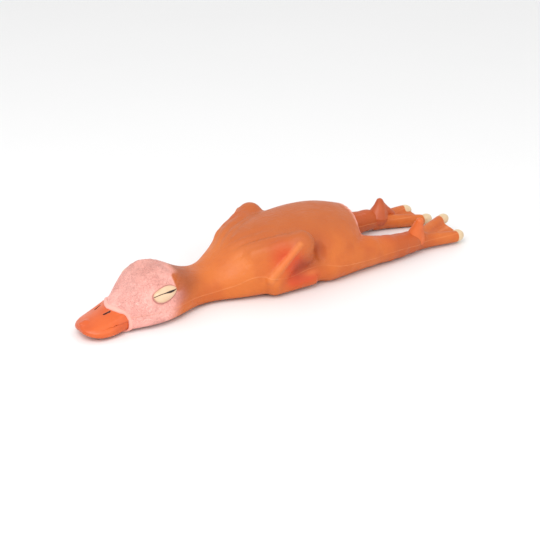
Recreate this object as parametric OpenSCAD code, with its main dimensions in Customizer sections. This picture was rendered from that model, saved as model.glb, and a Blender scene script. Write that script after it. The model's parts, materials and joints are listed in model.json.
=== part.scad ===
// Rubber bird prop: a limp, hollow latex bird lying on its belly.
// +Z is up, the bill points to -X, the bird's left side is -Y.
// The origin is on the resting surface, under the middle of the bird.

/* [Overall] */
// Thickness of the moulded latex wall
wall = 2.2; // [1.6:0.1:3]
// Free gap between the pieces on the two sides of a flexing zone
gap = 0.4; // [0.3:0.05:0.8]

/* [Torso] */
// Width across the flanks, without the wings
torso_w = 106; // [94:1:110]
// Height of the back above the resting surface
torso_h = 69; // [62:1:72]
// Where the narrow end of the breast meets the neck
collar_x = -75; // [-80:1:-72]
// Where the rump ends
rump_x = 102; // [98:1:106]

/* [Wings] */
// Width from one wing elbow to the other
wing_span = 116; // [110:1:120]
// Height of the wing elbow
elbow_z = 53; // [46:1:58]
// Radius of the wing's arm bones with their skin
wing_r = 9; // [7:0.5:10]

/* [Neck] */
// Length between the neck's two bending points
neck_len = 28; // [24:1:32]
// Radius of the neck
neck_r = 18; // [15:0.5:18.5]
// Rest angle of the head, towards the bird's left
head_turn = 4.8; // [0:0.1:10]

/* [Head] */
// Width across the cheeks
head_w = 70; // [60:1:74]
// Height of the crown
head_h = 54; // [48:1:58]
// Distance from the neck's upper bending point to the bill's root
head_len = 80; // [76:1:84]

/* [Bill] */
// Length of the bill beyond the head
bill_len = 45; // [38:1:48]
// Width of the bill near its tip
bill_w = 52; // [44:1:54]
// Height of the upper bill at its root
bill_h = 22; // [19:1:24]

/* [Eyes] */
// Length of the closed eyelid
eye_len = 25; // [20:1:28]
// Height of the closed eyelid
eye_h = 18; // [14:1:20]

/* [Legs] */
// Distance of each leg's middle line from the bird's middle plane
leg_y = 38; // [36:1:40]
// Height of each leg's middle line
leg_z = 13.5; // [13:0.5:15]
// Radius of the leg where it leaves the torso
thigh_r = 13; // [12:0.5:13.5]
// Radius of the leg above the foot
shank_r = 11; // [9.5:0.5:11.5]

/* [Feet] */
// Length of a foot from the ankle to the claw tips
foot_len = 78; // [70:1:82]
// Width of the web between the outer toes
foot_w = 34; // [28:1:36]
// Height of the hind toe above the sole
hind_toe_h = 23; // [18:1:28]
// Turn of each foot towards the other one
foot_turn = 7; // [0:0.5:9]
// Roll of the left foot, inner edge up
left_roll = 14; // [0:1:20]
// Roll of the right foot, inner edge up
right_roll = 3; // [0:1:20]

/* [Squeaker] */
// Distance of the squeaker behind the origin
squeaker_x = 20; // [0:1:35]
// Outer radius of the squeaker's cup
squeaker_r = 12; // [10:0.5:14]
// Depth of the squeaker's cup
squeaker_h = 14; // [12:0.5:16]
// Radius of the belly hole that the cup is pushed through
vent_r = 8; // [6:0.5:9]

/* [Hidden] */

PINK = [0.93, 0.62, 0.56];
ORANGE = [0.85, 0.47, 0.22];
BILL_ORANGE = [0.93, 0.47, 0.17];
CREAM = [0.93, 0.87, 0.72];
DARK = [0.12, 0.09, 0.08];
WHITE = [0.92, 0.92, 0.90];

LEFT = -1;
RIGHT = 1;
BALL_FN = 30;         // facets of a ball inside a hull
ROUND_FN = 64;        // facets of true round surfaces
BIG = 400;            // larger than the bird's any width

// bending points
neck_root = [collar_x - 5, 0, neck_r + 0.5];
head_root = neck_root - [neck_len, 0, 0];
hip_x = 122;
knee_x = 138;
ankle_x = 155;
max_bend = 30;        // largest bend of any flexing zone, in degrees

// how far a socket's rim stays beyond its bending point, so that the ball's
// own tube stays half a gap from the rim when it has swung by max_bend
function rim_setback(r) =
    (r + gap) * sin(max_bend - acos((r + gap / 2) / (r + gap))) + gap;

// a mirrored pair of each ball [x, y, z, radius]
function both(balls) = [for (s = [LEFT, RIGHT], b = balls) [b[0], s * b[1], b[2], b[3]]];

// one skin around all the balls, each made smaller by inset
module skin(balls, inset = 0) {
    hull()
        for (b = balls)
            translate([b[0], b[1], b[2]]) sphere(r = b[3] - inset, $fn = BALL_FN);
}

// everything above the height z
module above(z) {
    translate([-BIG / 2, -BIG / 2, z]) cube(BIG);
}

module ball(p, r) {
    translate(p) sphere(r = r, $fn = ROUND_FN);
}

// a round bar along +X that starts at p, r1 there and r2 at its far end
module bar(p, length, r1, r2) {
    translate(p) rotate([0, 90, 0]) cylinder(h = length, r1 = r1, r2 = r2, $fn = ROUND_FN);
}

// ---- torso ----

flank_r = 15;
flank_y = torso_w / 2 - flank_r;
back_z = torso_h - 24;

torso_balls = both([
    [collar_x + 18, 12, 19, 18],
    [-38, flank_y * 0.72, flank_r - 1, flank_r],
    [-34, 10, 36, 24],
    [15, flank_y, flank_r - 1, flank_r],
    [10, 15, back_z - 1, 25],
    [58, flank_y, flank_r - 1, flank_r],
    [58, 10, back_z - 2, 24],
    [rump_x - 17, 4, 36, 17],
    [rump_x - 13, 14, 12, 13]
]);

// the root of one leg, which the torso's skin widens into
function leg_root_balls(side) = [
    [58, side * flank_y, flank_r - 1, flank_r],
    [hip_x - 8, side * leg_y, leg_z, thigh_r + 1]
];

module torso_form(inset = 0) {
    skin(torso_balls, inset);
    for (side = [LEFT, RIGHT])
        skin(leg_root_balls(side), inset);
    // collar around the neck's ball
    bar(neck_root + [rim_setback(neck_r), 0, 0], 30, neck_r + 2 - inset, neck_r + 2 - inset);
}

module torso_skin() {
    color(ORANGE)
        difference() {
            intersection() {
                torso_form();
                above(0);
            }
            intersection() {
                torso_form(wall);
                above(wall);
                translate([collar_x + 17, -BIG / 2, 0])
                    cube([hip_x - 26 - (collar_x + 17), BIG, BIG]);
            }
            ball(neck_root, neck_r + gap);
            for (side = [LEFT, RIGHT]) {
                ball([hip_x, side * leg_y, leg_z], thigh_r + gap);
                translate([hip_x - rim_setback(thigh_r), -BIG / 2, 0]) cube(BIG);
            }
            translate([squeaker_x, 0, -1])
                cylinder(h = wall + 2, r = vent_r + 0.2, $fn = ROUND_FN);
        }
}

// ---- stuffing ----

module torso_wadding() {
    color(WHITE)
        difference() {
            intersection() {
                skin(torso_balls, wall + 1);
                above(wall + 1);
                translate([collar_x + 20, -BIG / 2, 0])
                    cube([hip_x - 32 - (collar_x + 20), BIG, BIG]);
            }
            translate([squeaker_x, 0, 0])
                cylinder(h = squeaker_h + wall + 2, r = squeaker_r + 1, $fn = ROUND_FN);
        }
}

// ---- squeaker ----

cup_wall = 1.2;
cup_z = wall;         // the cup's shoulder rests on the inside of the belly
cap_h = 1.6;
spigot_z = 0.4;       // the spigot stays this far above the resting surface

// the cup stands on the inside of the belly, with its spigot in the belly's hole
module squeaker_cup() {
    color(WHITE)
        translate([squeaker_x, 0, 0])
            difference() {
                union() {
                    translate([0, 0, spigot_z]) cylinder(h = cup_z, r = vent_r, $fn = ROUND_FN);
                    translate([0, 0, cup_z])
                        cylinder(h = squeaker_h - cap_h, r = squeaker_r, $fn = ROUND_FN);
                }
                translate([0, 0, cup_z + cup_wall])
                    cylinder(h = squeaker_h, r = squeaker_r - cup_wall, $fn = ROUND_FN);
                translate([0, 0, -1]) cylinder(h = cup_z + cup_wall + 2, r = vent_r - 3, $fn = ROUND_FN);
            }
}

module squeaker_cap() {
    hole_r = 1.3;
    color(WHITE)
        translate([squeaker_x, 0, cup_z + squeaker_h - cap_h])
            difference() {
                cylinder(h = cap_h, r = squeaker_r, $fn = ROUND_FN);
                for (angle = [0:60:300])
                    rotate([0, 0, angle]) translate([squeaker_r * 0.55, 0, -1])
                        cylinder(h = cap_h + 2, r = hole_r, $fn = 24);
            }
}

reed_len = 12;
reed_w = 4;
reed_t = 0.4;
holder_r = 6;
holder_top = cup_z + cup_wall + 5;

// a plug over the cup's hole, with a slot that the reed covers
module reed_holder() {
    color(DARK)
        translate([squeaker_x, 0, 0])
            difference() {
                translate([0, 0, cup_z + cup_wall])
                    cylinder(h = holder_top - cup_z - cup_wall, r = holder_r + 1.5, $fn = ROUND_FN);
                translate([-reed_len / 2 + 2, -reed_w / 2 + 0.6, 0])
                    cube([reed_len - 4, reed_w - 1.2, BIG]);
            }
}

module squeaker_reed() {
    color([0.75, 0.70, 0.55])
        translate([squeaker_x - reed_len / 2, -reed_w / 2, holder_top + 0.35])
            cube([reed_len, reed_w, reed_t]);
}

// ---- wings ----

wing_y = wing_span / 2 - wing_r;

// a folded wing: a plate between shoulder, elbow and wrist, and the tip that runs back from the wrist
function wing_parts(side) = [
    [
        [-42, side * 24, 40, wing_r + 3],
        [2, side * wing_y, elbow_z, wing_r],
        [5, side * wing_y, elbow_z - 14, wing_r],
        [-28, side * 41, 20, wing_r]
    ],
    [
        [-24, side * 42, wing_r + 1, wing_r],
        [22, side * 44, wing_r + 3, wing_r - 2]
    ]
];

module wing(side) {
    color(ORANGE)
        intersection() {
            difference() {
                for (part = wing_parts(side)) skin(part);
                skin(torso_balls, -0.05);
            }
            above(0);
        }
}

// ---- neck ----

module neck_capsule(inset) {
    for (p = [neck_root, head_root]) ball(p, neck_r - inset);
    bar(head_root, neck_len, neck_r - inset, neck_r - inset);
}

// a tube with rounded ends, open where the stuffing runs through
module neck_skin() {
    color(PINK)
        difference() {
            neck_capsule(0);
            neck_capsule(wall);
            bar(head_root - [neck_r + 1, 0, 0], neck_len + 2 * neck_r + 2, neck_r / 2, neck_r / 2);
        }
}

module neck_wadding() {
    color(WHITE) neck_capsule(wall + 0.5);
}

// ---- head: built straight, then turned about the neck's upper bending point ----

module turned() {
    translate(head_root) rotate([0, 0, head_turn]) children();
}

root_z = head_root[2];       // the resting surface is this far below the head's own zero
cheek_r = 13;
cheek_y = head_w / 2 - cheek_r;
crown_r = 22;
crown_z = head_h - crown_r - root_z;
floor_z = 0.8 - root_z;      // the head's lowest height in its own frame

head_balls = both([
    [-16, 4, 1, 16],
    [-36, cheek_y * 0.9, floor_z + cheek_r, cheek_r],
    [-40, 4, crown_z, crown_r],
    [-56, 4, crown_z - 1, crown_r - 1],
    [-60, cheek_y, floor_z + cheek_r, cheek_r],
    [-head_len + 11, 11, floor_z + 11, 10],
    [-head_len + 16, 3, 4, 14]
]);

module head_skin() {
    color(PINK)
        turned()
            difference() {
                intersection() {
                    skin(head_balls);
                    translate([-BIG - rim_setback(neck_r), -BIG / 2, -BIG / 2]) cube(BIG);
                }
                intersection() {
                    skin(head_balls, wall);
                    translate([-BIG - neck_r - 4, -BIG / 2, -BIG / 2]) cube(BIG);
                }
                ball([0, 0, 0], neck_r + gap);
            }
}

module head_wadding() {
    color(WHITE)
        turned()
            intersection() {
                skin(head_balls, wall + 1);
                translate([-BIG - neck_r - 6, -BIG / 2, -BIG / 2]) cube(BIG);
            }
}

// ---- bill ----

bill_tip = -head_len - bill_len;
mouth_z = floor_z + 3.6;     // the slit between the two halves of the bill
edge_r = 3;

// the broad rounded outline of the bill, one ball thick
function bill_outline(z, r) = both([
    [bill_tip + r, bill_w * 0.10, z, r],
    [bill_tip + 6, bill_w * 0.32, z, r],
    [bill_tip + 16, bill_w / 2 - r, z, r],
    [-head_len - 2, bill_w * 0.42 - r, z, r]
]);

module upper_bill() {
    color(BILL_ORANGE)
        turned()
            difference() {
                intersection() {
                    skin(concat(bill_outline(mouth_z + edge_r + 0.6, edge_r + 0.4), both([
                        [-head_len - 1, 3, bill_h - root_z - 6, 6],
                        [-head_len - 20, 4, mouth_z + 8, 4]
                    ])));
                    translate([-BIG / 2, -BIG / 2, mouth_z]) cube(BIG);
                }
                skin(head_balls, -0.05);
                // nostrils
                for (side = [LEFT, RIGHT])
                    translate([-head_len - 13, side * 7, mouth_z + 9])
                        rotate([0, 70, side * 20])
                            cylinder(h = 7, r = 1.3, center = true, $fn = 24);
            }
}

module lower_bill() {
    color(BILL_ORANGE)
        turned()
            difference() {
                intersection() {
                    skin(bill_outline(mouth_z - 1, edge_r - 0.4));
                    translate([-BIG / 2, -BIG / 2, mouth_z - 0.1 - BIG]) cube(BIG);
                }
                skin(head_balls, -0.05);
            }
}

// the raised roll of skin where the bill leaves the head
module bill_rim() {
    roll_r = 2.6;
    arch = [
        [-head_len + 4, 26, floor_z + 6],
        [-head_len, 18, floor_z + 17],
        [-head_len - 2, 0, bill_h - root_z + 1]
    ];
    color(PINK)
        turned()
            difference() {
                for (side = [LEFT, RIGHT], i = [0:1])
                    skin([for (p = [arch[i], arch[i + 1]]) [p[0], side * p[1], p[2], roll_r]]);
                skin(head_balls, -0.05);
                skin(concat(bill_outline(mouth_z + edge_r + 0.6, edge_r + 0.45), both([
                    [-head_len - 1, 3, bill_h - root_z - 6, 6.05],
                    [-head_len - 20, 4, mouth_z + 8, 4.05]
                ])));
            }
}

// ---- eyes ----

eye_at = [-39, 24, 9];       // middle of the eyelid
eye_tilt = 8;                // the rear corner stands higher than the front one

module at_eye(side) {
    turned()
        translate([eye_at[0], side * eye_at[1], eye_at[2]])
            rotate([side * -38, eye_tilt, 0])
                children();
}

module eyelid_bulge(inset = 0) {
    end_r = eye_h / 2;
    hull()
        for (x = [-1, 1])
            translate([x * (eye_len / 2 - end_r), 0, 0])
                sphere(r = end_r - inset, $fn = BALL_FN);
}

module eye_slot() {
    cube([eye_len - 5, eye_h + 2, 1.4], center = true);
}

module eyelid(side) {
    color(CREAM)
        difference() {
            at_eye(side) difference() {
                eyelid_bulge();
                eye_slot();
            }
            turned() skin(head_balls, -0.05);
        }
}

// the dark line that shows between the lids
module eye(side) {
    color(DARK)
        difference() {
            at_eye(side) intersection() {
                eyelid_bulge(0.8);
                eye_slot();
            }
            turned() skin(head_balls, -0.05);
        }
}

// ---- legs ----

function on_leg(x, side) = [x, side * leg_y, leg_z];

module thigh(side) {
    color(ORANGE) {
        for (x = [hip_x, knee_x]) ball(on_leg(x, side), thigh_r);
        bar(on_leg(hip_x, side), knee_x - hip_x, thigh_r, thigh_r);
    }
}

module shank(side) {
    start_x = knee_x + rim_setback(thigh_r);
    color(ORANGE)
        difference() {
            union() {
                bar(on_leg(start_x, side), ankle_x - start_x, thigh_r, shank_r);
                ball(on_leg(ankle_x, side), shank_r);
            }
            ball(on_leg(knee_x, side), thigh_r + gap);
        }
}

// ---- feet: each built flat with the ankle at its zero, then turned into place ----

foot_lift = 3;               // the claws stand a little higher than the heel

module at_ankle(side) {
    roll = side == LEFT ? left_roll : right_roll;
    translate(on_leg(ankle_x, side))
        rotate([-side * roll, -foot_lift, -side * foot_turn])
            children();
}

sole_z = 1.5 - leg_z;
toe_r = 5;
toe_x = foot_len - 10;       // where the inner claw begins
heel = [14, 0, -1, shank_r - 1];

// tips of the outer, middle and inner toe; the middle one is thinner and shorter
function toe_tips(side) = [
    [toe_x - 4, side * foot_w / 2, sole_z + toe_r, toe_r],
    [toe_x - 7, 0, sole_z + toe_r - 1.5, toe_r - 1.5],
    [toe_x, side * -foot_w / 2, sole_z + toe_r, toe_r]
];

// the heel and the three toes, each made larger by grow
module toe_bars(side, grow) {
    for (t = toe_tips(side)) skin([heel, t], -grow);
}

module foot(side) {
    web_r = 3;
    color(ORANGE)
        difference() {
            union() {
                skin(concat(
                    [[12, 0, sole_z + 6, 6]],
                    [for (t = toe_tips(side)) [toe_x - 9, t[1], sole_z + web_r, web_r]]
                ));
                bar([0, 0, 0], heel[0], shank_r, heel[3]);
                toe_bars(side, 0);
            }
            ball([0, 0, 0], shank_r + gap);
            translate([rim_setback(shank_r) - BIG, -BIG / 2, -BIG / 2]) cube(BIG);
        }
}

module hind_toe(side) {
    color(BILL_ORANGE)
        difference() {
            skin([[13, 0, 2, 7], [24, side * -2, 0, 6], [16, side * -3, hind_toe_h - 3, 3]]);
            toe_bars(side, 0.05);
            bar([0, 0, 0], heel[0], shank_r + 0.05, heel[3] + 0.05);
        }
}

module claws(side) {
    color(CREAM)
        for (t = toe_tips(side))
            difference() {
                skin([[t[0] + 1, t[1], t[2], t[3] - 1], [t[0] + 8.4, t[1], t[2] - 1, 1.6]]);
                ball([t[0], t[1], t[2]], t[3] + 0.05);
            }
}

torso_skin();
wing(LEFT);  // left_wing
wing(RIGHT);  // right_wing
torso_wadding();
squeaker_cup();
squeaker_cap();
reed_holder();
squeaker_reed();
neck_skin();
neck_wadding();
head_skin();
head_wadding();
upper_bill();
lower_bill();
bill_rim();
eyelid(LEFT);  // left_eyelid
eyelid(RIGHT);  // right_eyelid
eye(LEFT);  // left_eye
eye(RIGHT);  // right_eye
thigh(LEFT);  // left_thigh
thigh(RIGHT);  // right_thigh
shank(LEFT);  // left_shank
shank(RIGHT);  // right_shank
at_ankle(LEFT) foot(LEFT);  // left_foot
at_ankle(RIGHT) foot(RIGHT);  // right_foot
at_ankle(LEFT) hind_toe(LEFT);  // left_hind_toe
at_ankle(RIGHT) hind_toe(RIGHT);  // right_hind_toe
at_ankle(LEFT) claws(LEFT);  // left_claws
at_ankle(RIGHT) claws(RIGHT);  // right_claws
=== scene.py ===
import json
import math

import bpy
import bmesh
import numpy as np
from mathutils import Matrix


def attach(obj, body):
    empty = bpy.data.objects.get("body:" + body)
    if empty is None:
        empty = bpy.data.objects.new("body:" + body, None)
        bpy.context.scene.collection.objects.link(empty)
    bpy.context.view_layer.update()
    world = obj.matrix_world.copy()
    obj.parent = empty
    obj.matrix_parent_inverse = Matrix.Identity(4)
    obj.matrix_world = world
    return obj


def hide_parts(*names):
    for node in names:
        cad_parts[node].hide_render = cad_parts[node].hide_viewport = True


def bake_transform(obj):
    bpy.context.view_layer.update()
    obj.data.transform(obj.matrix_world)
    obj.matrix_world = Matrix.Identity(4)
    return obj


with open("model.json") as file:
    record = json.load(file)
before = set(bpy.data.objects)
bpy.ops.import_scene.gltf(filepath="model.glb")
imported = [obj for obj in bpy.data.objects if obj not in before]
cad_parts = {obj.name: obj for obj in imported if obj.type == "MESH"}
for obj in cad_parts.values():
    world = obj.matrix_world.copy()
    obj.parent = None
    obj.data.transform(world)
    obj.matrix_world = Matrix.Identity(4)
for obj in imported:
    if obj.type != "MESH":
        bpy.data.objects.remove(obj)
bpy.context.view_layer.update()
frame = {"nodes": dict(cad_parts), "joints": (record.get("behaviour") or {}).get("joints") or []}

import openvdb
from mathutils import Vector

MM = 0.001
SIDES = {"left": -1, "right": 1}

# ---------------------------------------------------------------- field toolbox


def smooth_min(a, b, k):
    h = np.maximum(k - np.abs(a - b), 0.0) / k
    return np.minimum(a, b) - h * h * h * k / 6.0


def smooth_max(a, b, k):
    return -smooth_min(-a, -b, k)


def smooth_step(x, low, high):
    t = np.clip((x - low) / (high - low), 0.0, 1.0)
    return t * t * (3.0 - 2.0 * t)


def curve(x, stations):
    """A smooth curve through (place, value) stations, flat beyond its ends."""
    xs, ys = np.array(stations, float).T
    slopes = np.gradient(ys, xs)
    x = np.clip(x, xs[0], xs[-1])
    i = np.clip(np.searchsorted(xs, x) - 1, 0, len(xs) - 2)
    width = xs[i + 1] - xs[i]
    t = (x - xs[i]) / width
    a, b = ys[i], ys[i + 1]
    da, db = slopes[i] * width, slopes[i + 1] * width
    return a + t * (da + t * (3 * (b - a) - 2 * da - db + t * (2 * (a - b) + da + db)))


def bone(p, start, end, r_start, r_end, flat=1.0):
    """Distance to a bar with round ends that tapers from r_start to r_end; flat < 1 thins it in z."""
    a, b = np.array(start, float), np.array(end, float)
    scale = np.array([1.0, 1.0, 1.0 / flat])
    axis = (b - a) * scale
    q = (p - a) * scale
    t = np.clip(q @ axis / (axis @ axis), 0.0, 1.0)
    away = np.linalg.norm(q - t[:, None] * axis, axis=1)
    return (away - (r_start + (r_end - r_start) * t)) * flat


def ellipsoid(q, radii):
    """Distance to an ellipsoid at the zero of q."""
    radii = np.array(radii, float)
    inner = np.linalg.norm(q / radii, axis=1)
    outer = np.linalg.norm(q / radii ** 2, axis=1)
    return inner * (inner - 1.0) / np.maximum(outer, 1e-9)


def blob(p, centre, radius):
    """1 at the centre, falling to 0 softly round it."""
    away = np.linalg.norm((p - np.array(centre, float)) / np.array(radius, float), axis=1)
    return np.exp(-away ** 2)


def rounded_section(y, z, top, bottom, half, level, p_top, p_bottom):
    """Distance to a body section: half is its half width, level the share of its height where that is."""
    middle = bottom + (top - bottom) * level
    dz = z - middle
    above = dz > 0
    v = np.abs(dz) / np.where(above, top - middle, middle - bottom)
    u = np.abs(y) / half
    power = np.where(above, p_top, p_bottom)
    g = (u ** power + v ** power) ** (1.0 / power)
    away = np.hypot(y, dz)
    return np.where(g > 1e-3, away * (1.0 - 1.0 / np.maximum(g, 1e-3)), -np.minimum(half, top - middle))


def turn_x(a):
    c, s = math.cos(a), math.sin(a)
    return np.array([[1, 0, 0], [0, c, -s], [0, s, c]])


def turn_y(a):
    c, s = math.cos(a), math.sin(a)
    return np.array([[c, 0, s], [0, 1, 0], [-s, 0, c]])


def turn_z(a):
    c, s = math.cos(a), math.sin(a)
    return np.array([[c, -s, 0], [s, c, 0], [0, 0, 1]])


def mirrored(p):
    """p with both sides folded onto +y."""
    q = p.copy()
    q[:, 1] = np.abs(q[:, 1])
    return q


# ---------------------------------------------------------------- the bird's form

# places of the CAD joints
joints = {j["name"]: np.array(j["pos_m"], float) / MM for j in frame["joints"]}
HEAD_X = joints["head_turn"][0]
HIP_X, LEG_Y, LEG_Z = np.abs(joints["left_leg_spread"])
KNEE_X = joints["left_leg_lift"][0]
ANKLE_X = joints["left_foot_flap"][0]

# (x, value) stations of the trunk from the forehead to the rump
TOP = [(-196, 18), (-190, 25), (-184, 32), (-177, 41), (-168, 49.5), (-156, 54.5), (-143, 53), (-131, 47.5),
       (-118, 40), (-105, 34.5), (-93, 32.5), (-82, 34), (-68, 41.5), (-50, 55), (-28, 63), (5, 67.5),
       (40, 68.5), (66, 66), (86, 61), (105, 55), (125, 48)]
BOTTOM = [(-196, 5), (-186, 2), (-170, 0.6), (-150, 0.2), (-130, 0.6), (-105, 1), (-80, 0.6), (-55, 0),
          (125, 0)]
HALF = [(-196, 20), (-188, 25), (-178, 30), (-166, 34), (-153, 36), (-140, 35), (-128, 32), (-115, 28),
        (-103, 26), (-92, 26), (-80, 29), (-66, 35), (-48, 42), (-25, 47), (10, 50.5), (40, 52.5),
        (60, 50.5), (73, 46), (85, 38.5), (95, 29), (105, 22), (125, 18)]
LEVEL = 0.36                       # share of the height where the trunk is widest
FOREHEAD_X = -192.0
HEAD_TURN = math.tan(math.radians(6.4))
RUMP_X = 92.5                      # the back ends here, in a steep step
RUMP_Z = 38.0                      # below this height the skin slopes on, down to the fork of the legs
FORK_SLOPE = 0.57
VENT = (20.0, 8.2)                 # x and radius of the squeaker's hole


def head_shift(x):
    """How far the turned head's middle line lies to the side at x."""
    ahead = HEAD_X - x
    soft = (ahead + 12) ** 2 / 48.0
    return -HEAD_TURN * np.where(ahead > 12, ahead, np.where(ahead < -12, 0.0, soft))


def trunk(p):
    x, y, z = p.T
    y = y - head_shift(x)
    d = rounded_section(y, z, curve(x, TOP), curve(x, BOTTOM), curve(x, HALF), LEVEL, 2.15, 4.5)
    d = smooth_max(d, FOREHEAD_X - x, 8.0)
    return smooth_max(d, rump(p), 2.2)


def rump(p):
    """How far a point lies behind the trunk's end."""
    x, y, z = p.T
    ragged = 1.1 * np.sin(y / 1.9) * np.sin(y / 3.1 + z / 4.0)
    step = x - RUMP_X - ragged
    slope = (x - RUMP_X - FORK_SLOPE * (RUMP_Z - z)) / math.hypot(1, FORK_SLOPE)
    return smooth_min(step, slope, 3.0)


def legs(q):
    hip = (HIP_X, LEG_Y, LEG_Z + 0.6)
    knee = (KNEE_X, LEG_Y, LEG_Z - 0.3)
    ankle = (ANKLE_X, LEG_Y, LEG_Z)
    d = bone(q, (42, 40, 16), (96, 37.5, 17), 16.5, 16.2)
    d = smooth_min(d, bone(q, (96, 37.5, 17), hip, 16.2, 14.0), 3.0)
    d = smooth_min(d, bone(q, hip, knee, 14.0, 12.8), 3.0)
    return smooth_min(d, bone(q, knee, ankle, 12.8, 11.6), 3.0)


# the wing's long ridge, its radii at the ends, and the three joints under the skin
RIDGE = ((-6, 56.5, 56), (-36, 48.5, 22), 2.4, 4.4)
SHOULDER, ELBOW, WRIST = np.array([(-40, 27, 43), (2, 47, 52), (-29, 44, 17)], float)


def with_wings(d, q):
    """The shoulder, elbow and wrist with skin stretched between them, the hand below, and pits behind."""
    upper_arm = bone(q, SHOULDER, ELBOW, 12.0, 12.5)
    wing = smooth_min(upper_arm, bone(q, ELBOW, ELBOW + [4, 0, -14], 12.0, 9.5), 4.0)
    for share in (0.25, 0.6, 1.0):
        wing = smooth_min(wing, bone(q, WRIST, SHOULDER + (ELBOW - SHOULDER) * share, 8.0, 10.5), 9.0)
    ridge = bone(q, *RIDGE)
    hand = bone(q, (-28, 43, 11), (15, 47, 10.5), 9.5, 7.5)
    rear_pit = ellipsoid(q - [25.0, 55.0, 42.0], (8.0, 10.0, 16.0))
    pocket = ellipsoid(q - [-7.0, 62.0, 31.0], (9.0, 8.0, 10.0))
    d = smooth_min(d, wing, 12.0)
    d = smooth_max(d, -rear_pit, 5.0)
    d = smooth_min(d, hand, 5.0)
    d = smooth_max(d, -pocket, 6.0)
    return smooth_min(d, ridge, 4.5)


# how the feet lie, by side (-1 is the left): rolled, lifted at the toes and turned outwards
ROLL = {-1: math.radians(14), 1: math.radians(-3)}
LIFT = {-1: math.radians(3), 1: math.radians(-1)}
FOOT_TURN = math.radians(7)
SOLE = 2.0 - LEG_Z
TOES_END = 66.0
OUTER_TOE = (57.5, 15.5, SOLE + 6.5)
INNER_TOE = (67.0, -15.0, SOLE + 6.5)
MIDDLE_TOE = (58.0, 0.0, SOLE + 3.2)
# each nail: the toe it sits on, its half lengths and where it lies from the toe's end
CLAWS = [(OUTER_TOE, (8.2, 7.2, 6.4), (4.0, 0, 0)), (INNER_TOE, (7.5, 6.0, 6.0), (3.5, 0, 0.5)),
         (MIDDLE_TOE, (8.0, 4.5, 3.2), (4.0, 0, 0))]


def in_foot(p, side):
    """Points in one foot's own flat frame: x along the foot, y outwards, zero at the ankle."""
    turn = turn_z(-side * FOOT_TURN) @ turn_y(-LIFT[side]) @ turn_x(-side * ROLL[side])
    q = (p - np.array([ANKLE_X, side * LEG_Y, LEG_Z])) @ turn
    return q * np.array([1, side, 1])


def out_of_foot(q, side):
    """The place in the bird's frame of a point of the flat frame."""
    turn = turn_z(-side * FOOT_TURN) @ turn_y(-LIFT[side]) @ turn_x(-side * ROLL[side])
    return np.array([ANKLE_X, side * LEG_Y, LEG_Z]) + turn @ (np.array(q, float) * np.array([1, side, 1]))


def foot(q):
    heel = bone(q, (-2, 0, 0), (14, 0, -1.5), 11.2, 9.6)
    outer = bone(q, (12, 1, -3), OUTER_TOE, 8.6, 6.4)
    inner = bone(q, (12, -2, -3), INNER_TOE, 8.0, 6.0)
    middle = bone(q, (14, 0, -4), MIDDLE_TOE, 5.5, 4.2)
    d = smooth_min(smooth_min(heel, outer, 5.0), inner, 5.0)
    d = smooth_min(d, smooth_min(web(q), middle, 3.0), 4.0)
    return smooth_max(d, q[:, 0] - TOES_END, 2.0)


def web(q):
    x, y, z = q.T
    half = curve(x, [(8, 7), (25, 9), (45, 13.5), (64, 18)])
    thick = curve(x, [(8, 6), (30, 4.2), (64, 3.2)])
    level = SOLE + curve(x, [(8, 6.5), (30, 5.2), (64, 4.2)])
    d = smooth_max(np.abs(z - level) - thick, np.abs(y) - half, 3.0)
    return smooth_max(d, 6.0 - x, 3.0)


# the spur on each heel: foot, peak and foot radius of its cone, and where its ridge runs down to
SPURS = {-1: ((8, 0, 2), (8.0, 0.5, 25.0), 11.0, (2, 0, 9)),
         1: ((14, 0, 2), (16.5, 1.5, 19.5), 13.0, (33, 1, 1))}


def hind_toe(q, side):
    base, peak, radius, ridge_end = SPURS[side]
    cone = bone(q, base, peak, radius, 3.0)
    ridge = bone(q, np.array(peak) - [0, 0, 1], ridge_end, 2.6, 5.0)
    return smooth_min(cone, ridge, 9.0)


# where each shoulder crease lies across the back, and its depth
FOLDS = [(-8.0, 1.1), (-19.0, 1.5), (-31.0, 1.2)]


def shoulder_folds(p):
    """Shallow creases that run from the neck over each shoulder."""
    x, y, z = p.T
    place = -np.abs(y) + 1.2 * np.sin(x / 9.0) + 0.45 * (x + 40)
    here = smooth_step(x, -70, -52) * (1 - smooth_step(x, -28, -8)) * smooth_step(z, 30, 42)
    depth = sum(d * np.exp(-((place - at) / 3.6) ** 2) for at, d in FOLDS)
    return here * depth


def bird(p):
    """The whole skin without bill, lids, claws and hind toes."""
    q = mirrored(p)
    d = smooth_min(trunk(p), legs(q), 9.0)
    d = with_wings(d, q)
    d = d + shoulder_folds(p)
    far = p[:, 0] > 138
    if far.any():
        side = np.where(p[far, 1] < 0, foot(in_foot(p[far], -1)), foot(in_foot(p[far], 1)))
        d[far] = smooth_min(d[far], side, 4.0)
    return smooth_max(d, -p[:, 2], 0.6)


# ---------------------------------------------------------------- bill and eyes

BILL_TOP = [(-238, 10), (-235, 12), (-230, 14), (-222, 16), (-212, 18.5), (-202, 22), (-193, 26.5),
            (-184, 31)]
BILL_BOTTOM = [(-238, 9.5), (-235, 7), (-230, 4.2), (-222, 1.8), (-212, 0.8), (-184, 0.6)]
BILL_HALF = [(-238, 2), (-236, 7), (-232, 13.5), (-226, 19.5), (-217, 23.5), (-208, 25), (-196, 24.5),
             (-184, 24)]
MOUTH = [(-238, 8.5), (-226, 9.5), (-213, 11.5), (-200, 12.5), (-188, 13.0)]
BILL_TIP = -235.0
BILL_ROOT = -182.0
FAR_NOSTRIL_OUT = 6.5              # how much further out the far nostril lies than the near one


def straightened(p):
    """p with the head's turn taken out."""
    q = p.copy()
    q[:, 1] -= head_shift(p[:, 0])
    return q


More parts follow.
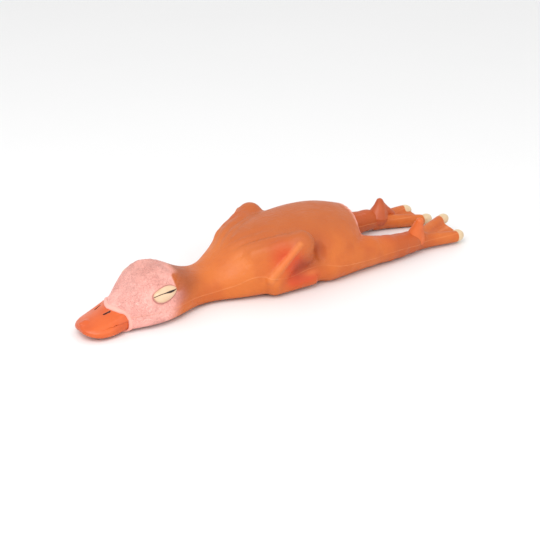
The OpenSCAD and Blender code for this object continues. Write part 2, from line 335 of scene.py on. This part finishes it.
def bill_form(p):
    """The whole bill, with the nail at its tip and the soft fold over each side wall."""
    q = straightened(p)
    x, y, z = q.T
    d = rounded_section(y, z, curve(x, BILL_TOP), curve(x, BILL_BOTTOM), curve(x, BILL_HALF), 0.4, 1.75, 4.0)
    d = smooth_max(d, BILL_TIP - x, 4.0)
    nail = bone(q, (-231, 0, 14.0), (-227, 0, 15.0), 3.4, 3.0, 0.5)
    fold = bone(mirrored(q), (-193, 18.5, 17.0), (-217, 16.0, 10.5), 3.2, 2.6)
    d = smooth_min(d, fold, 3.0)
    return smooth_max(smooth_min(d, nail, 2.5), x - BILL_ROOT, 2.0)


def behind_rim(p):
    """How far a point lies behind the line where the bill ends; that line runs back towards the cheeks."""
    x, y, _ = straightened(p).T
    return x - (-203.0 + 13.0 * np.clip(np.abs(y) / 25.0, 0, 1.3) ** 1.6)


def nostril(p):
    """Distance, seen from above, to the slot on either side of the bill."""
    q = straightened(p)
    q[:, 1] = np.where(q[:, 1] > 0, q[:, 1] - FAR_NOSTRIL_OUT, -q[:, 1])
    q[:, 2] = 0.0
    return bone(q, (-209, 5.4, 0), (-203, 7.0, 0), 0.8, 0.8)


def upper_bill(p):
    x, _, z = p.T
    d = smooth_max(bill_form(p), curve(x, MOUTH) - z, curve(x, [(-230, 0.5), (-190, 1.8)]))
    slot = np.maximum(np.maximum(nostril(p), -1.5 - bill_form(p)), 12 - z)
    return smooth_max(d, -slot, 0.5)


def lower_bill(p):
    x, _, z = p.T
    inset = curve(x, [(-238, 0.05), (-222, 0.15), (-208, 0.7), (-190, 1.5)])
    return smooth_max(bill_form(p) + inset, z - curve(x, MOUTH) - 0.6, 0.8)


def bill_rim(p):
    s = behind_rim(p)
    ring = smooth_max(bill_form(p) - 1.5, -bill_form(p) - 1.2, 0.8)
    return np.maximum(smooth_max(ring, np.abs(s - 2.0) - 2.1, 2.0), -p[:, 2])


WRINKLE = 0.36


def wrinkles(p):
    """Curly creases a few millimetres apart, over the head but not over its eyes or its cut ends."""
    x, y, z = p.T
    bend = 2.2 * np.sin(x / 3.7 + 1.0) * np.sin(z / 4.3) + 1.4 * np.sin(y / 3.1 + x / 6.0)
    lines = np.sin(z / 0.95 + bend + y / 2.3) * np.sin(x / 1.6 + 1.7 * bend)
    here = smooth_step(p[:, 0], -196, -184) * (1 - smooth_step(p[:, 0], -136, -124)) * smooth_step(z, 2, 10)
    return WRINKLE * lines * here * smooth_step(lid_distance(p), 1, 6)


def head(p):
    """The skin ahead of the neck, with the sleeve that the bill comes out of."""
    sleeve = smooth_max(bill_form(p) - 0.9, 2.0 - behind_rim(p), 1.0)
    return np.maximum(smooth_min(bird(p), sleeve, 5.0) + wrinkles(p), -p[:, 2])


EYE = np.array([-152.0, 0.0, 34.6])
EYE_HALF = (13.4, 9.0, 5.4)
EYE_SKEW = 0.5


def surface_y(place, side):
    """The bird's side at (x, z): where a ray from outside meets the skin."""
    y = side * 80.0
    for _ in range(60):
        y -= side * 0.7 * float(bird(np.array([[place[0], y, place[2]]]))[0])
    return y


def eye_frame(side):
    """The eye's middle and its axes: back along the head, up, and out of the skin."""
    centre = np.array([EYE[0], surface_y(EYE, side), EYE[2]])
    out = gradient(bird, centre[None, :], 1.0)[0][0]
    back = np.array([1.0, -side * 0.06, -0.07])
    back -= out * (back @ out)
    back /= np.linalg.norm(back)
    up = np.cross(out, back) * side
    up *= np.sign(up[2])
    return centre, np.stack([back, up, out], axis=1)


def in_eye(p, place):
    centre, axes = place
    return (p - centre) @ axes


def lens(q, grow=0.0):
    """The closed eye's bulge, whose top leans back."""
    leant = q.copy()
    leant[:, 0] -= EYE_SKEW * q[:, 1]
    leant[:, 1] /= 0.84 + 0.16 * np.clip(1 - (leant[:, 0] / 13.5) ** 2, 0, 1)
    leant[:, 1] /= 1 - 0.26 * smooth_step(q[:, 1], -1, 4)
    leant[:, 2] += 1.2
    return ellipsoid(leant, np.array(EYE_HALF) + grow)


def slit(a):
    """Height of the line between the lids."""
    t = a / EYE_HALF[0]
    return 0.3 + 0.6 * t + 1.4 * t ** 3


def eyelids(q):
    a, b, _ = q.T
    upper = b - slit(a)
    gap = 0.35 + 0.7 * np.exp(-((a - 4.0) / 5.5) ** 2)
    d = lens(q) + 0.5 * (1 - smooth_step(upper, -0.3, 0.3))
    return smooth_max(d, gap - np.abs(upper), 0.35)


def eye_dark(q):
    return smooth_max(lens(q) + 0.75, np.abs(q[:, 1] - slit(q[:, 0])) - 2.0, 0.3)


# ---------------------------------------------------------------- from field to mesh


def mesh_of(field, low, high, step):
    """Points and quads of the field's surface in a box, by a coarse pass and a fine one near the skin."""
    low, high = np.array(low, float), np.array(high, float)
    count = np.ceil((high - low) / step).astype(int) + 1
    coarse = 4
    blocks = count // coarse + 2
    axes = [low[k] + np.arange(blocks[k]) * step * coarse for k in range(3)]
    rough = field(np.stack(np.meshgrid(*axes, indexing="ij"), -1).reshape(-1, 3)).reshape(blocks)
    near = np.abs(rough) < step * coarse * 2.2
    limit = 3 * step
    grow = np.ones((coarse,) * 3)
    half = coarse // 2
    window = tuple(slice(half, half + n) for n in count)
    full = np.kron(np.clip(rough, -limit, limit), grow)[window]
    wanted = np.kron(near, grow)[window] > 0
    full[wanted] = np.clip(field(low + np.argwhere(wanted) * step), -limit, limit)
    grid = openvdb.FloatGrid(background=float(limit))
    grid.copyFromArray(full.astype(np.float32))
    points, quads = grid.convertToQuads(isovalue=0)
    return settle(field, low + np.asarray(points) * step), np.asarray(quads)


def gradient(field, p, e=0.05):
    """The field's direction and steepness at p."""
    g = np.empty_like(p)
    for k in range(3):
        step = np.zeros(3)
        step[k] = e
        g[:, k] = field(p + step) - field(p - step)
    size = np.linalg.norm(g, axis=1, keepdims=True)
    return g / np.maximum(size, 1e-9), size[:, 0] / (2 * e)


def settle(field, p, steps=3):
    """Moves points onto the field's surface."""
    for _ in range(steps):
        g, steepness = gradient(field, p)
        p = p - g * np.clip(field(p) / np.maximum(steepness, 0.3), -1, 1)[:, None]
    return p


def cut(points, faces, low_x, high_x, side=0):
    """The part of a mesh between two planes, on one side of the bird or on both, cut cleanly."""
    middle = points[faces].mean(axis=1)
    keep = (middle[:, 0] > low_x - 3) & (middle[:, 0] < high_x + 3) & (side * middle[:, 1] >= 0)
    used, index = np.unique(faces[keep], return_inverse=True)
    bm = bmesh.new()
    verts = [bm.verts.new(p) for p in points[used]]
    for quad in index.reshape(-1, 4):
        bm.faces.new([verts[i] for i in dict.fromkeys(quad)])
    for place, normal in ((low_x, -1), (high_x, 1)):
        bmesh.ops.bisect_plane(bm, geom=bm.verts[:] + bm.edges[:] + bm.faces[:], dist=1e-4,
                               plane_co=(place, 0, 0), plane_no=(normal, 0, 0), clear_outer=True)
    bm.verts.index_update()
    new_points = np.array([v.co for v in bm.verts])
    new_faces = [[v.index for v in f.verts] for f in bm.faces]
    bm.free()
    return new_points, new_faces


def open_edges(faces):
    """Directed edges that only one face has."""
    edges = {(a, b) for f in faces for a, b in zip(f, f[1:] + f[:1])}
    return sorted(e for e in edges if (e[1], e[0]) not in edges)


def with_wall(points, faces, normals, wall):
    """A closed skin: the outer face, an inner one a wall's thickness in, and a rim between them."""
    n = len(points)
    inner = [[i + n for i in reversed(f)] for f in faces]
    rim = [[b, a, a + n, b + n] for a, b in open_edges(faces)]
    both_sides = np.vstack([points, points - normals * wall])
    return both_sides, faces + inner + rim, np.vstack([normals, -normals])


def with_cap(points, faces, normals):
    """A closed solid: the open end is filled round its middle."""
    ends = open_edges(faces)
    ring = sorted({i for e in ends for i in e})
    centre = len(points)
    cap = [[b, a, centre] for a, b in ends]
    points = np.vstack([points, points[ring].mean(axis=0)])
    return points, faces + cap, np.vstack([normals, [[-1, 0, 0]]])


def make_object(name, points, faces, normals, material):
    mesh = bpy.data.meshes.new(name)
    mesh.from_pydata((points * MM).tolist(), [], [list(f) for f in faces])
    mesh.validate()
    mesh.shade_smooth()
    mesh.normals_split_custom_set_from_vertices(normals.tolist())
    obj = bpy.data.objects.new(name, mesh)
    bpy.context.scene.collection.objects.link(obj)
    mesh.materials.append(material)
    return obj


def store(obj, name, values):
    """Keeps one number, or one place, for each point, for the materials to read."""
    values = np.asarray(values, np.float32)
    kind, field = ("FLOAT_VECTOR", "vector") if values.ndim == 2 else ("FLOAT", "value")
    attribute = obj.data.attributes.new(name, kind, "POINT")
    attribute.data.foreach_set(field, values.ravel())


def solid(name, field, low, high, step, material, body, slot, *nodes):
    """A closed piece that stands for the given CAD nodes and rides on a body."""
    points, quads = mesh_of(field, low, high, step)
    normals = gradient(field, points)[0]
    obj = make_object(name, points, quads.tolist(), normals, material)
    store(obj, "rest", points * MM)
    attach(obj, body)
    if nodes:
        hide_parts(*nodes)
    return obj, points


# ---------------------------------------------------------------- paint

SEAM = [(-200, 15), (-180, 17), (-160, 17), (-121, 15), (-89, 14), (-70, 18), (-51, 25), (-28, 23),
        (-8, 20), (10, 23.5), (23, 24), (52, 18), (95, 15), (122, 15), (160, 13)]
# patches: centre, half widths and strength
# red sprayed into the wing folds and the leg hollows: partly the latex's own red paint, partly painted shade
# in those folds
RED_PAINT_AND_SHADE_SPOTS = [((-21, 52, 43), (14, 18, 15), 1.0), ((-9, 54, 33), (9, 12, 12), 1.0),
             ((-10, 52, 15), (12, 12, 9), 1.0), ((10, 53, 15), (12, 12, 8), 0.9),
             ((106, 25, 27), (14, 9, 10), 0.7), ((128, 34, 26), (22, 14, 9), 0.7),
             ((152, 36, 24), (16, 12, 10), 0.6)]
# painted shade: darker patches in the pits behind the wing's elbow and ridge, under the wing's rear, in the
# rump's hollow and between the legs
SHADE_SPOTS = [((4, 53, 31), (10, 13, 12), 0.8), ((22, 50, 40), (9, 14, 16), 0.8),
              ((-6, 54, 25), (7, 11, 9), 0.6), ((100, 8, 32), (9, 16, 18), 1.0),
              ((124, 26, 27), (16, 9, 9), 0.45), ((80, 50, 27), (26, 14, 14), 0.22)]
# painted highlights: lighter patches on the wrist, the wing's tip and the lit shoulder
HIGHLIGHT_SPOTS = [((-36, 49, 22), (7, 7, 6), 0.4), ((12, 55, 19), (8, 6, 3), 0.6),
              ((-60, 26, 38), (26, 24, 18), 0.35)]
PINK_EDGE = [(0, -146), (12, -142), (24, -138), (40, -133), (56, -126)]


def pink_share(p):
    """The head's pink: it ends sharply behind the eye and fades above and below it."""
    x, y, z = straightened(p).T
    sharp = smooth_step(np.abs(y), 14, 22) * smooth_step(z, 29, 33) * (1 - smooth_step(z, 44, 50))
    edge = curve(z, PINK_EDGE) * (1 - sharp) - 138.5 * sharp
    soft = curve(z, [(0, 13), (20, 11), (34, 9), (56, 10)]) * (1 - sharp) + 1.6 * sharp
    return 1 - smooth_step(x, edge - soft, edge + soft)


def spots(q, listed):
    return np.clip(sum(strength * blob(q, centre, radius) for centre, radius, strength in listed), 0, 1)


def ridge_highlight(q):
    """Painted highlight along the wing's raised ridge."""
    return 0.85 * (1 - smooth_step(bone(q, *RIDGE), -1.5, 2.4))


def rump_edge(p):
    """1 on the edge where the back ends and along the legs' inner tops behind it."""
    across = np.exp(-((rump(p) + 2.2) / 2.8) ** 2) * smooth_step(p[:, 2], 18, 28)
    across *= 1 - smooth_step(np.abs(p[:, 1]), 27, 33)
    along = 1 - smooth_step(bone(mirrored(p), (103, 29, 32), (148, 32, 27), 1.6, 0.8), 0, 2.6)
    return np.maximum(across, along)


def paint(obj, p, wall=True):
    """Stores what the latex material reads; inner points take their outer ones' values."""
    q = mirrored(p)
    x, _, z = p.T
    values = {
        "rest": p * MM,
        "pink": pink_share(p),
        # red paint together with painted shade in the wing folds and leg hollows
        "red_paint_and_shade": spots(q, RED_PAINT_AND_SHADE_SPOTS),
        # dark is painted shade in the wing pits, the rump's hollow and between the legs
        "dark": spots(q, SHADE_SPOTS),
        # pale is painted highlight on the raised ridge, wrist, wing tip and shoulder
        "pale": np.maximum(spots(q, HIGHLIGHT_SPOTS), ridge_highlight(q)),
        "leg": smooth_step(x, 104, 136) * (1 - smooth_step(x, 164, 190)),
        "crown": smooth_step(z, 38, 54) * pink_share(p) * smooth_step(x, -190, -170),
        "back": smooth_step(z, 36, 62) * smooth_step(x, -112, -60),
        "nape": smooth_step(z, 12, 32) * np.exp(-((x + 119) / 19.0) ** 2),
        "haze": blob(q, (-132, 36, 26), (9, 12, 9)),
        "seam": z - curve(x, SEAM),
        "rump": rump_edge(p),
        "lid": lid_distance(p),
    }
    for name, value in values.items():
        value = np.concatenate([value, value]) if wall else value
        missing = len(obj.data.vertices) - len(value)
        if missing:
            value = np.concatenate([value, value[-missing:]])
        store(obj, name, value)


def lid_distance(p):
    """Distance to the nearer eye's lids, in millimetres."""
    out = np.full(len(p), 30.0)
    near = (p[:, 0] < -125) & (p[:, 0] > -180)
    if near.any():
        out[near] = np.min([lens(in_eye(p[near], EYES[s])) for s in SIDES], axis=0)
    return np.clip(out, -5, 30)


# ---------------------------------------------------------------- materials


def linear(r, g, b):
    """A shader colour from 0-255 screen values."""
    def one(v):
        return v / 255 / 12.92 if v <= 10 else ((v / 255 + 0.055) / 1.055) ** 2.4
    return one(r), one(g), one(b), 1.0


class Graph:
    """Short calls to build one node material."""

    def __init__(self, name, **shader):
        self.material = bpy.data.materials.new(name)
        self.material.use_nodes = True
        self.tree = self.material.node_tree
        self.shader = self.tree.nodes["Principled BSDF"]
        for socket, value in shader.items():
            self.shader.inputs[socket.replace("_", " ")].default_value = value

    def put(self, kind, inputs=(), **settings):
        node = self.tree.nodes.new(kind)
        for key, value in settings.items():
            setattr(node, key, value)
        for key, value in dict(inputs).items():
            if isinstance(value, bpy.types.NodeSocket):
                self.tree.links.new(value, node.inputs[key])
            else:
                node.inputs[key].default_value = value
        return node

    def read(self, name):
        node = self.put("ShaderNodeAttribute", attribute_name=name)
        return node.outputs["Vector" if name == "rest" else "Fac"]

    def math(self, operation, *values):
        node = self.put("ShaderNodeMath", dict(enumerate(values)), operation=operation)
        return node.outputs[0]

    def mix(self, share, a, b, blend="MIX"):
        inputs = {"Factor": share, "A": a, "B": b}
        node = self.tree.nodes.new("ShaderNodeMix")
        node.data_type = "RGBA"
        node.blend_type = blend
        for key, value in inputs.items():
            socket = next(s for s in node.inputs if s.name == key and s.enabled)
            if isinstance(value, bpy.types.NodeSocket):
                self.tree.links.new(value, socket)
            else:
                socket.default_value = value
        return next(s for s in node.outputs if s.enabled)

    def noise(self, scale, stretch=(1, 1, 1), detail=2.0, distortion=0.0, turn=(0, 0, 0)):
        place = self.put("ShaderNodeMapping", {"Vector": self.read("rest"), "Scale": stretch,
                                               "Rotation": turn})
        node = self.put("ShaderNodeTexNoise", {"Vector": place.outputs[0], "Scale": scale, "Detail": detail,
                                               "Distortion": distortion})
        return node.outputs["Fac"]

    def range(self, value, low, high, to_low=0.0, to_high=1.0):
        ends = {"Value": value, "From Min": low, "From Max": high, "To Min": to_low, "To Max": to_high}
        node = self.put("ShaderNodeMapRange", ends, interpolation_type="SMOOTHSTEP")
        return node.outputs[0]

    def finish(self, colour, height=None, depth=0.0002, roughness=None):
        self.tree.links.new(colour, self.shader.inputs["Base Color"])
        if height is not None:
            bump = self.put("ShaderNodeBump", {"Height": height, "Distance": depth, "Strength": 1.0})
            self.tree.links.new(bump.outputs[0], self.shader.inputs["Normal"])
        if roughness is not None:
            self.tree.links.new(roughness, self.shader.inputs["Roughness"])
        return self.material


def latex():
    """Sprayed latex: orange body, pink head, red and brown tones with painted shade and painted highlights,
    fine wrinkles.
    """
    g = Graph("latex_skin", Specular_IOR_Level=0.4)
    mottle = g.noise(45, detail=3.0)
    colour = g.mix(g.range(mottle, 0.3, 0.7), linear(207, 108, 40), linear(197, 96, 34))
    colour = g.mix(g.math("MULTIPLY", g.read("back"), 0.75), colour, linear(180, 92, 42))
    colour = g.mix(g.math("MULTIPLY", g.read("nape"), 0.85), colour, linear(160, 84, 48))
    # red paint with painted shade in the wing folds and leg hollows
    colour = g.mix(g.math("MULTIPLY", g.read("red_paint_and_shade"), 0.9), colour, linear(204, 70, 26))
    # painted shade in the wing pits, the rump's hollow and between the legs
    colour = g.mix(g.math("MULTIPLY", g.read("dark"), 0.8), colour, linear(138, 46, 24))
    # painted highlight on the raised ridge, wrist, wing tip and shoulder
    colour = g.mix(g.read("pale"), colour, linear(226, 132, 66))
    colour = g.mix(g.math("MULTIPLY", g.read("leg"), 0.8), colour, linear(180, 82, 30))
    pink = g.mix(g.range(mottle, 0.3, 0.7), linear(254, 188, 176), linear(250, 178, 166))
    pink = g.mix(g.math("MULTIPLY", g.read("crown"), 0.75), pink, linear(236, 168, 154))
    colour = g.mix(g.read("pink"), colour, pink)
    colour = g.mix(g.math("MULTIPLY", g.read("haze"), 0.4), colour, linear(176, 110, 110))
    # darker ring round each eyelid: a painted outline, and painted shade in the crease where the lid meets
    # the head
    ring = g.range(g.math("ABSOLUTE", g.math("SUBTRACT", g.read("lid"), 0.4)), 0.0, 1.3, 1.0, 0.0)
    colour = g.mix(g.math("MULTIPLY", ring, 0.7), colour, linear(160, 92, 84))
    seam = g.range(g.math("ABSOLUTE", g.read("seam")), 0.1, 0.8, 1.0, 0.0)
    broken = g.range(g.noise(60, detail=2.0), 0.3, 0.65, 0.25, 1.0)
    seam_share = g.math("MULTIPLY", seam, broken)
    colour = g.mix(g.math("MULTIPLY", seam_share, 0.28), colour, linear(244, 160, 104))
    rump = g.math("MULTIPLY", g.read("rump"), g.range(g.noise(260, detail=3.0), 0.25, 0.6, 0.25, 1.0))
    colour = g.mix(g.math("MULTIPLY", rump, 0.85), colour, linear(244, 166, 150))
    worms = g.noise(480, stretch=(1.4, 1.4, 0.6), detail=1.5, distortion=2.0)
    creases = g.range(g.math("ABSOLUTE", g.math("SUBTRACT", worms, 0.5)), 0.0, 0.11, 0.0, 1.0)
    on_head = g.math("MULTIPLY", g.read("pink"), g.range(g.noise(60), 0.35, 0.6, 0.45, 1.0))
    colour = g.mix(g.math("MULTIPLY", g.math("SUBTRACT", 1.0, creases), g.math("MULTIPLY", on_head, 0.4)),
                   colour, linear(232, 138, 128))
    pores = g.noise(900, detail=2.0)
    drag = g.noise(160, stretch=(0.35, 1.4, 1.4), detail=3.0, distortion=0.8, turn=(0, 0.35, 0.5))
    off_head = g.range(g.read("pink"), 0.0, 1.0, 1.3, 0.2)
    height = g.math("MULTIPLY", g.math("MULTIPLY", creases, on_head), 0.8)
    height = g.math("ADD", height, g.math("MULTIPLY", pores, 0.35))
    height = g.math("ADD", height, g.math("MULTIPLY", drag, off_head))
    height = g.math("ADD", height, g.math("MULTIPLY", seam_share, 0.5))
    height = g.math("ADD", height, g.math("MULTIPLY", g.noise(210, detail=2.0, distortion=0.6), off_head))
    rough = g.range(g.noise(80, detail=3.0), 0.3, 0.7, 0.40, 0.55)
    return g.finish(colour, height, 0.0004, rough)


def sprayed(name, light, shade, roughness, scale=60, depth=0.00012, **shader):
    """Smooth painted latex or plastic with slight mottling."""
    g = Graph(name, **shader)
    colour = g.mix(g.range(g.noise(scale, detail=3.0), 0.3, 0.7), linear(*light), linear(*shade))
    height = g.math("ADD", g.noise(scale * 3, detail=2.0), g.math("MULTIPLY", g.noise(900), 0.3))
    rough = g.range(g.noise(scale * 2, detail=3.0), 0.3, 0.7, roughness - 0.05, roughness + 0.07)
    return g.finish(colour, height, depth, rough)


def bill_latex():
    g = Graph("bill_latex", Specular_IOR_Level=0.5, Coat_Weight=0.2, Coat_Roughness=0.25)
    colour = g.mix(g.range(g.noise(50, detail=3.0), 0.3, 0.7), linear(216, 94, 26), linear(206, 84, 21))
    hole = g.range(g.read("nostril"), 0.0, 0.5, 1.0, 0.0)
    colour = g.mix(hole, colour, linear(70, 18, 10))
    height = g.math("ADD", g.noise(120, detail=2.0), g.math("MULTIPLY", g.noise(800), 0.25))
    rough = g.range(g.noise(90, detail=3.0), 0.3, 0.7, 0.32, 0.46)
    return g.finish(colour, height, 0.00022, rough)


def fluff():
    """Stuffing: soft matted fibres."""
    g = Graph("wadding", Roughness=1.0)
    fibres = g.noise(500, stretch=(1, 0.3, 1), detail=5.0, distortion=1.2)
    colour = g.mix(g.range(fibres, 0.3, 0.7), linear(238, 236, 230), linear(205, 202, 194))
    return g.finish(colour, fibres, 0.0006)


# ---------------------------------------------------------------- building


EYES = {side: eye_frame(sign) for side, sign in SIDES.items()}
LATEX = latex()
SKIN_WALL = 2.0


def skin_piece(name, mesh, low_x, high_x, side, *nodes, wall=True, slot="orange_latex", field=bird):
    points, faces = cut(mesh[0], mesh[1], low_x, high_x, side)
    normals = gradient(field, points)[0]
    if name == "torso_skin":
        points, faces, normals = with_vent(points, faces, normals)
    outer = points
    closed = with_wall(points, faces, normals, SKIN_WALL) if wall else with_cap(points, faces, normals)
    obj = make_object(name, *closed, LATEX)
    paint(obj, outer, wall)
    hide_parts(*nodes)
    return obj


def with_vent(points, faces, normals):
    """Opens the round hole in the belly that the squeaker's spigot fills."""
    x, radius = VENT
    away = np.hypot(points[:, 0] - x, points[:, 1])
    belly = points[:, 2] < 3
    faces = [f for f in faces if not (belly[f].all() and away[f].mean() < radius)]
    used = np.unique([i for f in faces for i in f])
    index = {old: new for new, old in enumerate(used)}
    faces = [[index[i] for i in f] for f in faces]
    points, normals, away, belly = points[used], normals[used], away[used], belly[used]
    edge = sorted({i for e in open_edges(faces) for i in e if belly[i] and away[i] < radius + 3})
    pull = (radius / away[edge])[:, None]
    points[edge, :2] = [x, 0] + (points[edge, :2] - [x, 0]) * pull
    return points, faces, normals


def at(x, z=LEG_Z, y=0.0):
    return (x * MM, y * MM, z * MM)


def build_skin():
    trunk_mesh = mesh_of(bird, (-78, -64, -4), (124, 64, 74), 1.4)
    torso = skin_piece("torso_skin", trunk_mesh, -72, 117, 0, "torso_skin", "left_wing", "right_wing")
    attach(torso, "torso")
    neck_mesh = mesh_of(bird, (-124, -44, -4), (-66, 44, 60), 1.2)
    lower = skin_piece("neck_skin_lower", neck_mesh, -93.5, -72, 0, "neck_skin", slot="pink_latex")
    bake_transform(lower)
    upper = skin_piece("neck_skin_upper", neck_mesh, -118, -93.5, 0, "neck_skin", slot="pink_latex")
    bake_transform(upper)
    head_mesh = mesh_of(head, (-212, -54, -4), (-112, 40, 62), 1.0)
    front = skin_piece("head_skin", head_mesh, -230, -118, 0, "head_skin", slot="pink_latex", field=head)
    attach(front, "head")


def build_legs():
    leg_mesh = mesh_of(bird, (112, -62, -4), (168, 62, 40), 1.1)
    foot_mesh = mesh_of(bird, (155, -76, -4), (240, 76, 40), 0.9)
    for side, sign in SIDES.items():
        thigh, shank, flap = f"{side}_thigh", f"{side}_shank", f"{side}_foot"
        hip = skin_piece(f"{side}_hip_skin", leg_mesh, 117, 129.5, sign, thigh)
        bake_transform(hip)
        knee = skin_piece(f"{side}_knee_skin", leg_mesh, 129.5, 146, sign, thigh, shank)
        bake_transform(knee)
        ankle = skin_piece(f"{side}_ankle_skin", leg_mesh, 146, 161, sign, shank)
        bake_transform(ankle)
        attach(skin_piece(flap, foot_mesh, 161, 260, sign, flap, wall=False, slot="foot_latex"), flap)


def around(centre, size):
    centre = np.array(centre, float)
    return centre - size, centre + size


def build_toes():
    horn = sprayed("claw_cream", (224, 200, 164), (210, 182, 144), 0.42, scale=140)
    # the right spur, on the side away from the key light, gets a darker copy of the same latex: painted
    # shade
    spurs = {"left": sprayed("left_spur_latex", (216, 104, 40), (204, 92, 34), 0.42),
             "right": sprayed("right_spur_painted_shade", (190, 86, 32), (178, 76, 28), 0.42)}
    for side, sign in SIDES.items():
        body = f"{side}_foot"
        centre = out_of_foot((18, 0, 6), sign)
        solid(f"{side}_hind_toe", lambda p: hind_toe(in_foot(p, sign), sign), *around(centre, 32), 0.8,
              spurs[side], body, "foot_latex", f"{side}_hind_toe")
        for toe, (tip, radii, ahead) in zip(("outer", "inner", "middle"), CLAWS):
            place = np.array(tip) + ahead
            solid(f"{side}_{toe}_claw", lambda p: ellipsoid(in_foot(p, sign) - place, radii),
                  *around(out_of_foot(place, sign), 14), 0.7, horn, body, "cream_latex", f"{side}_claws")


def build_bill():
    skin = bill_latex()
    box = ((-246, -46, -4), (-176, 34, 40))
    for name, field in (("upper_bill", upper_bill), ("lower_bill", lower_bill)):
        obj, points = solid(name, field, *box, 0.9, skin, "head", "bill_latex", name)
        store(obj, "nostril", np.where(points[:, 2] > 12, nostril(points), 9.0))
    pale = sprayed("rim_pink", (246, 176, 162), (238, 162, 148), 0.42)
    solid("bill_rim", bill_rim, *box, 0.8, pale, "head", "pink_latex", "bill_rim")


def build_eyes():
    cream = sprayed("lid_cream", (228, 194, 160), (218, 182, 146), 0.38, scale=110, Coat_Weight=0.15)
    dark = sprayed("lid_line", (52, 30, 22), (34, 20, 16), 0.35)
    for side in SIDES:
        place = EYES[side]
        box = around(place[0], 22)
        solid(f"{side}_eyelid", lambda p: eyelids(in_eye(p, place)), *box, 0.5, cream, "head", "cream_latex",
              f"{side}_eyelid")
        solid(f"{side}_eye", lambda p: eye_dark(in_eye(p, place)), *box, 0.6, dark, "head", "dark_paint",
              f"{side}_eye")


def stuffed(low_x, high_x, inset=3.4):
    """The filling between two planes, with a lumpy face."""
    def field(p):
        x, y, z = p.T
        lumps = 0.5 * np.sin(x / 3.1) * np.sin(y / 3.7 + 1) * np.sin(z / 2.9 + 2)
        d = smooth_max(bird(p) + inset + lumps, np.abs(x - (low_x + high_x) / 2) - (high_x - low_x) / 2, 6.0)
        squeaker = np.maximum(np.hypot(x - VENT[0], y) - 13.5, z - 19.0)
        return smooth_max(d, -squeaker, 1.0)
    return field


def build_wadding():
    fill = fluff()
    for body, low_x, high_x in (("torso", -66, 100), ("neck", -101, -87), ("head", -188, -123)):
        low, high = (low_x - 4, -58, 0), (high_x + 4, 58, 70)
        solid(f"{body}_wadding", stuffed(low_x, high_x), low, high, 2.2, fill, body, "wadding",
              f"{body}_wadding")


def plastics():
    """Materials of the squeaker parts, which stay CAD nodes. Their places come from the object itself."""
    looks = {
        "squeaker_cup": ((236, 236, 232), (222, 222, 218), 0.3),
        "squeaker_cap": ((236, 236, 232), (222, 222, 218), 0.3),
        "reed_holder": ((60, 58, 56), (44, 42, 40), 0.45),
        "squeaker_reed": ((214, 178, 96), (190, 152, 78), 0.3),
    }
    for name, (light, shade, roughness) in looks.items():
        obj = frame["nodes"][name]
        metallic = 1.0 if name == "squeaker_reed" else 0.0
        material = moulded(name, light, shade, roughness, metallic)
        obj.data.materials.clear()
        obj.data.materials.append(material)


def moulded(name, light, shade, roughness, metallic):
    g = Graph(name, Metallic=metallic)
    place = g.put("ShaderNodeTexCoord").outputs["Object"]
    noise = g.put("ShaderNodeTexNoise", {"Vector": place, "Scale": 300.0, "Detail": 3.0}).outputs["Fac"]
    colour = g.mix(g.range(noise, 0.3, 0.7), linear(*light), linear(*shade))
    return g.finish(colour, noise, 0.00005, g.range(noise, 0.3, 0.7, roughness - 0.05, roughness + 0.08))


# ---------------------------------------------------------------- stage


def area_light(name, place, aim, size, power):
    data = bpy.data.lights.new(name, "AREA")
    data.energy = power
    data.size = size
    obj = bpy.data.objects.new(name, data)
    obj.location = place
    obj.rotation_mode = "QUATERNION"
    obj.rotation_quaternion = (Vector(aim) - Vector(place)).to_track_quat("-Z", "Y")
    bpy.context.scene.collection.objects.link(obj)


def build_stage():
    bpy.context.scene.view_settings.view_transform = "Standard"
    world = bpy.data.worlds.new("studio")
    world.use_nodes = True
    world.node_tree.nodes["Background"].inputs["Color"].default_value = (1.0, 1.0, 1.0, 1.0)
    world.node_tree.nodes["Background"].inputs["Strength"].default_value = 0.9
    bpy.context.scene.world = world
    area_light("key", (-0.9, -0.6, 1.3), (0, 0, 0.02), 1.2, 14)
    area_light("fill", (0.3, -1.6, 0.8), (0, 0, 0.02), 1.4, 5)
    half = 6.0
    corners = [(-half, -half, 0), (half, -half, 0), (half, half, 0), (-half, half, 0)]
    mesh = bpy.data.meshes.new("floor")
    mesh.from_pydata(corners, [], [(0, 1, 2, 3)])
    floor = bpy.data.objects.new("floor", mesh)
    floor.location.z = -0.0004
    bpy.context.scene.collection.objects.link(floor)
    g = Graph("floor_paper")
    noise = g.put("ShaderNodeTexNoise", {"Scale": 40.0, "Detail": 2.0}).outputs["Fac"]
    mesh.materials.append(g.finish(g.mix(noise, (0.86, 0.86, 0.86, 1), (0.88, 0.88, 0.88, 1))))


CAMERA_AZIMUTH, CAMERA_ELEVATION = math.radians(-34.5), math.radians(24.5)
CAMERA_DISTANCE = 1.4
CAMERA_LENS = 88.7
CAMERA_AIM = Vector((-0.004, 0.0, 0.0065))


def build_camera():
    level = math.cos(CAMERA_ELEVATION)
    across = math.sin(CAMERA_AZIMUTH) * level
    towards = -math.cos(CAMERA_AZIMUTH) * level
    back = Vector((across, towards, math.sin(CAMERA_ELEVATION)))
    data = bpy.data.cameras.new("camera")
    data.lens = CAMERA_LENS
    data.sensor_width = 36.0
    camera = bpy.data.objects.new("camera", data)
    camera.location = CAMERA_AIM + back * CAMERA_DISTANCE
    camera.rotation_mode = "QUATERNION"
    camera.rotation_quaternion = (-back).to_track_quat("-Z", "Y")
    bpy.context.scene.collection.objects.link(camera)
    bpy.context.scene.camera = camera


build_skin()
build_legs()
build_toes()
build_bill()
build_eyes()
build_wadding()
plastics()
build_stage()
build_camera()
